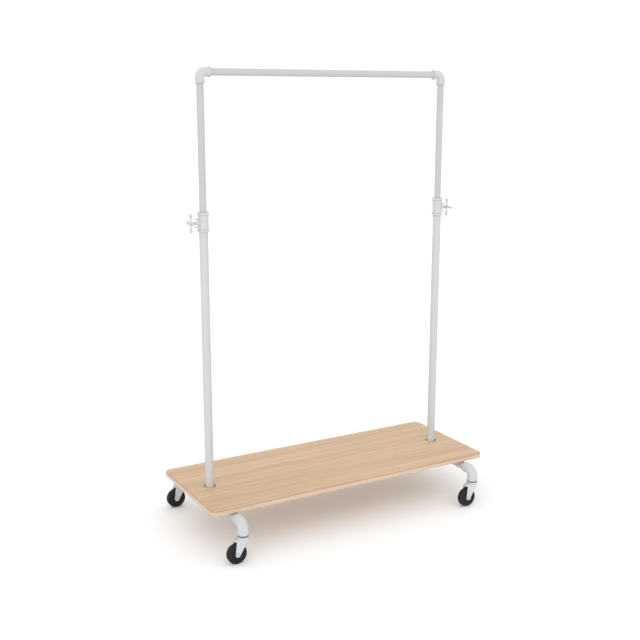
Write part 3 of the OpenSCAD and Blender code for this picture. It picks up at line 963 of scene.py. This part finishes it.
def make_clamp_screws(materials):
    low, high = box_of("clamp_screw_right")
    length = high.x - low.x
    spigot_r = 2.5 * MM
    spigot_l = 3.5 * MM
    pitch = 1.5 * MM
    root = 4.15 * MM
    crest = CLAMP_SCREW_R
    plain_l = 6.6 * MM
    outline = [(spigot_r - 0.3 * MM, 0), (spigot_r, 0.3 * MM), (spigot_r, spigot_l), (root, spigot_l)]
    turns = int((length - spigot_l - 8 * MM) / pitch)
    thread_start = spigot_l + 0.3 * MM
    for turn in range(turns):
        start = thread_start + turn * pitch
        outline += [(root, start), (crest, start + pitch * 0.42), (crest, start + pitch * 0.58)]
    outline += [(root, thread_start + turns * pitch), (crest, length - plain_l), (crest, length)]
    pattern = turned("clamp_screw_pattern", outline, solid=True, steps=48)
    smooth(pattern)
    settle(pattern, (low.x - POST_X, 0, HANDLE.z), SIDEWAYS)
    fit_copies(pattern, "clamp_screw", at_posts(), materials["zinc"])


def make_cross_handles(materials):
    """Two double-ended bars and a hub, run together like a casting and bored for the screw."""
    low, high = box_of("cross_handle_right")
    reach = (high.z - low.z) / 2
    bulb_r = 6.2 * MM
    neck_r = 2.75 * MM
    hub_r = 6.75 * MM
    voxel = 0.45 * MM
    outline = [(neck_r + 1.6 * MM, 0), (neck_r + 0.5 * MM, 7 * MM), (neck_r, 11 * MM), (neck_r, 16 * MM)]
    outline += [(neck_r + 0.7 * MM, 18.8 * MM), (neck_r + 1.9 * MM, 21.6 * MM)]
    outline += arc(0, reach - bulb_r, bulb_r, -38, 82, 12)
    outline = [(r, -h) for r, h in reversed(outline)] + outline[1:]
    bars = []
    for axis in (UP, BACKWARD):
        bars.append(settle(turned("bar", outline, solid=True, steps=32), (0, 0, 0), axis))
    hub_back = HANDLE.x - low.x
    hub_front = high.x - HANDLE.x
    rim_r = hub_r - 0.65 * MM
    hub = [(rim_r, -hub_back), (hub_r, -hub_back + 0.6 * MM), (hub_r, hub_front - 2.6 * MM)]
    hub += [(rim_r, hub_front - 1.4 * MM), (4.5 * MM, hub_front - 0.4 * MM), (2.4 * MM, hub_front)]
    pattern = settle(turned("hub", hub, solid=True, steps=64), (0, 0, 0), SIDEWAYS)
    pattern = joined([pattern, *bars])
    fuse(pattern, voxel)
    drill(pattern, CLAMP_SCREW_R, hub_back + MM, (-hub_back - MM, 0, 0), SIDEWAYS, 48)
    smooth(pattern, 50)
    places = at_posts((HANDLE.x - POST_X, 0, HANDLE.z))
    fit_copies(pattern, "cross_handle", places, materials["cast_coat"])


def fuse(piece, voxel):
    """Runs crossing shapes together into one skin with soft inner corners, as a casting has."""
    only(piece)
    piece.data.remesh_voxel_size = voxel
    bpy.ops.object.voxel_remesh()
    relax = piece.modifiers.new("relax", "SMOOTH")
    relax.factor = 0.5
    relax.iterations = 6
    bpy.ops.object.modifier_apply(modifier=relax.name)


# ---------------------------------------------------------------- casters

PIN_HOLE_R = 6.05 * MM
AXLE_R = 4 * MM


def make_stem_sockets(materials):
    low, high = box_of("stem_socket_right_front")
    flange_r = (high.x - low.x) / 2
    height = high.z - low.z
    plug_r = LOW_TUBE / 2
    bore_r = 5.5 * MM
    ease = 0.8 * MM
    outline = [(bore_r, 0), (flange_r - 0.6 * MM, 0)] + arc(flange_r - ease, ease, ease, -60, 0, 3)
    outline += [(flange_r, SOCKET_FLANGE - ease), (flange_r - EDGE_EASE, SOCKET_FLANGE)]
    outline += [(plug_r, SOCKET_FLANGE), (plug_r, height - 1.5 * MM)]
    outline += [(plug_r - MM, height), (bore_r, height)]
    pattern = turned("socket_pattern", outline)
    smooth(pattern)
    places = at_corners((0, 0, low.z))
    fit_copies(pattern, "stem_socket", places, materials["dark_plastic"])


def make_caster_stems(materials):
    low, high = box_of("caster_stem_right_front")
    plate_r = (high.x - low.x) / 2
    top = STEM["right_front"].z
    plate_low = top - 5 * MM
    foot_r = 10 * MM
    pin_r = 6 * MM
    stem_r = 5.5 * MM
    low_round = 1.2 * MM
    top_round = 2.4 * MM
    foot_top = low.z + 3 * MM
    outline = [(4 * MM, low.z), (foot_r - 0.6 * MM, low.z), (foot_r, low.z + 0.6 * MM), (foot_r, foot_top)]
    outline += [(pin_r, foot_top), (pin_r, plate_low), (plate_r - 1.4 * MM, plate_low)]
    outline += arc(plate_r - low_round, plate_low + low_round, low_round, -80, 0, 4)
    outline += [(plate_r, plate_low + 2.2 * MM)]
    outline += arc(plate_r - top_round, top - top_round, top_round, 10, 80, 5)
    outline += [(plate_r - 5 * MM, top), (stem_r, top)]
    outline += [(stem_r, high.z - 1.2 * MM), (stem_r - 1.2 * MM, high.z)]
    pattern = turned("stem_pattern", outline, solid=True)
    smooth(pattern)
    fit_copies(pattern, "caster_stem", at_corners(), materials["fork_steel"])


def touch_angle(point, centre, radius, side):
    """The angle on a circle at which a line from the point touches it, on one side of it."""
    away = point - centre
    return math.atan2(away.y, away.x) - side * math.acos(radius / away.length)


def bent_fork(tip_z, crown_top, half, leg_t, back_x, front_x):
    """A sheet bent from one leg's end up, over the crown and down the other leg."""
    bend_r = 3.2 * MM
    reach = half - leg_t / 2
    crown_z = crown_top - leg_t / 2
    sheet = start_strip("fork_pattern", front_x - back_x, leg_t, -reach, tip_z, "Z")
    run_strip(0, crown_z - bend_r - tip_z)
    bend_strip(90, bend_r - reach, crown_z - bend_r, 8)
    run_strip(2 * (reach - bend_r), 0)
    bend_strip(90, reach - bend_r, crown_z - bend_r, 8)
    run_strip(0, tip_z + bend_r - crown_z)
    close_up(sheet)
    return settle(sheet, ((front_x + back_x) / 2, 0, 0), UP, 90)


def trim_legs(fork, corner, tip, tip_r, side):
    """Cuts both legs along the line from the crown's corner to the round tip, and rounds the tip."""
    angle = touch_angle(corner, tip, tip_r, side)
    outward = Vector((math.cos(angle), math.sin(angle)))
    spot = (corner.x, 0, corner.y)
    facing = (outward.x, 0, outward.y)
    only(fork)
    bpy.ops.object.mode_set(mode="EDIT")
    bpy.ops.mesh.select_all(action="SELECT")
    bpy.ops.mesh.bisect(plane_co=spot, plane_no=facing, use_fill=True, clear_outer=True)
    bpy.ops.object.mode_set(mode="OBJECT")
    close = 0.01 * MM
    low = tip.y - tip_r + close
    turn = math.acos(-outward.y)

    def at_tip_corner(first, second):
        along_y = abs(first.x - second.x) < close
        return along_y and max(first.z, second.z) < low and side * (first.x - tip.x) > 0

    round_edges(fork, tip_r * math.tan(turn / 2) * 0.95, 12, at_tip_corner)


def make_forks(materials):
    """Bent sheets with tapered legs, a round nose over the wheel and a ball race, bored for pin and axle."""
    low, high = box_of("caster_fork_right_front")
    half = 15.8 * MM
    leg_t = 2.5 * MM
    back = Vector((-31 * MM, CROWN_TOP))
    front = Vector((13.5 * MM, CROWN_TOP))
    tip = Vector((-TRAIL, AXLE.z))
    tip_r = AXLE.z - low.z
    fork = bent_fork(low.z, CROWN_TOP, half, leg_t, tip.x - 1.4 * tip_r, front.x)
    trim_legs(fork, front, tip, tip_r, 1)
    trim_legs(fork, back, tip, tip_r, -1)
    soften(fork, 0.5 * MM, 40)
    nose_x = -22.5 * MM
    nose_r = 15.5 * MM
    nose_h = 6 * MM
    nose_round = 2.5 * MM
    nose = [(nose_r - 3 * MM, 0.2 * MM), (nose_r - 0.4 * MM, 0.2 * MM), (nose_r, 0.6 * MM)]
    nose += arc(nose_r - nose_round, nose_h - nose_round, nose_round, 0, 90, 8)
    combine(fork, settle(turned("nose", nose, solid=True), (nose_x, 0, CROWN_Z), UP), "UNION")
    race_r = (high.y - low.y) / 2
    race_neck = race_r - 0.9 * MM
    race = [(race_neck - 0.5 * MM, CROWN_Z + 0.4 * MM), (race_neck, CROWN_Z + 0.9 * MM)]
    race += [(race_neck, CROWN_TOP + 0.2 * MM), (race_r, CROWN_TOP + MM)]
    race += [(race_r, high.z - 0.8 * MM), (race_r - 0.8 * MM, high.z)]
    combine(fork, turned("race", race, solid=True), "UNION")
    drill(fork, PIN_HOLE_R, 30 * MM, (0, 0, CROWN_TOP - 15 * MM), UP, 64)
    drill(fork, AXLE_R, 60 * MM, (-TRAIL, -30 * MM, AXLE.z), BACKWARD, 48)
    smooth(fork)
    fit_copies(fork, "caster_fork", at_corners(), materials["fork_steel"])


def make_axle_bolts(materials):
    low, high = box_of("axle_bolt_right_front")
    head_h = 5 * MM
    reach = (high.y - low.y) / 2
    shaft = [(AXLE_R - 0.8 * MM, 0), (AXLE_R, 0.8 * MM), (AXLE_R, 2 * reach - head_h)]
    bolt = settle(turned("bolt_pattern", shaft, solid=True, steps=48), (0, reach, 0), FORWARD)
    head = settle(hexagon(NUT_FLATS, head_h), (0, -reach + head_h, 0), FORWARD, 30)
    combine(bolt, head, "UNION")
    nut = hexagon(NUT_FLATS, head_h)
    drill(nut, AXLE_R, 2 * head_h, (0, 0, -MM), UP, 48)
    settle(nut, (0, reach - head_h, 0), BACKWARD, 30)
    smooth(bolt, 30)
    smooth(nut, 30)
    places = at_corners((-TRAIL, 0, AXLE.z))
    fit_copies(joined([bolt, nut]), "axle_bolt", places, materials["zinc"])


def make_wheels(materials):
    low, high = box_of("wheel_right_front")
    radius = (high.z - low.z) / 2
    hub_half = (high.y - low.y) / 2
    half = hub_half - 0.5 * MM
    shoulder = 6 * MM
    tread_r = radius - shoulder
    web_half = 9 * MM
    web_r = radius - 14.5 * MM
    hub_r = 11 * MM
    bore_r = 6 * MM
    groove = 0.4 * MM
    side = [(bore_r, hub_half), (hub_r - MM, hub_half), (hub_r, hub_half - 0.8 * MM)]
    side += [(hub_r + 0.8 * MM, web_half + 0.5 * MM), (hub_r + 1.8 * MM, web_half)]
    side += [(web_r, web_half), (web_r + 2 * MM, half - 0.8 * MM), (web_r + 3 * MM, half)]
    side += [(tread_r - 2.4 * MM, half), (tread_r - 2 * MM, half - groove)]
    side += [(tread_r - 1.2 * MM, half - groove), (tread_r - 0.8 * MM, half)]
    side += arc(tread_r, half - shoulder, shoulder, 90, 4, 12)
    outline = side + [(radius, 0.5 * MM), (radius, -0.5 * MM)] + [(r, -h) for r, h in reversed(side)]
    pattern = settle(turned("wheel_pattern", outline), (0, 0, 0), BACKWARD)
    smooth(pattern, 40)
    places = at_corners((-TRAIL, 0, AXLE.z))
    fit_copies(pattern, "wheel", places, materials["wheel_rubber"])


# ---------------------------------------------------------------- small parts that keep their own solids

def finish_plain_parts(materials):
    """Inner rings, pads and bushes, which keep the shapes that they have."""
    plain = {
        "guide_bush_": "dark_plastic",
        "tube_glide_": "dark_plastic",
        "clamp_pad_": "zinc",
        "wheel_bush_": "zinc",
    }
    for node, piece in frame["nodes"].items():
        for prefix, finish in plain.items():
            if node.startswith(prefix):
                piece.data.materials.clear()
                piece.data.materials.append(materials[finish])


def build():
    materials = make_materials()
    make_tubes(materials)
    make_lower_elbows(materials)
    make_top_elbows(materials)
    make_tees(materials)
    make_deck(materials)
    screw_x, strap_y = make_straps(materials)
    make_wood_screws(materials, screw_x, strap_y)
    make_collars(materials)
    make_set_screws(materials)
    make_clamp_screws(materials)
    make_cross_handles(materials)
    make_stem_sockets(materials)
    make_caster_stems(materials)
    make_forks(materials)
    make_axle_bolts(materials)
    make_wheels(materials)
    finish_plain_parts(materials)


set_camera()
set_floor()
set_light()
build()
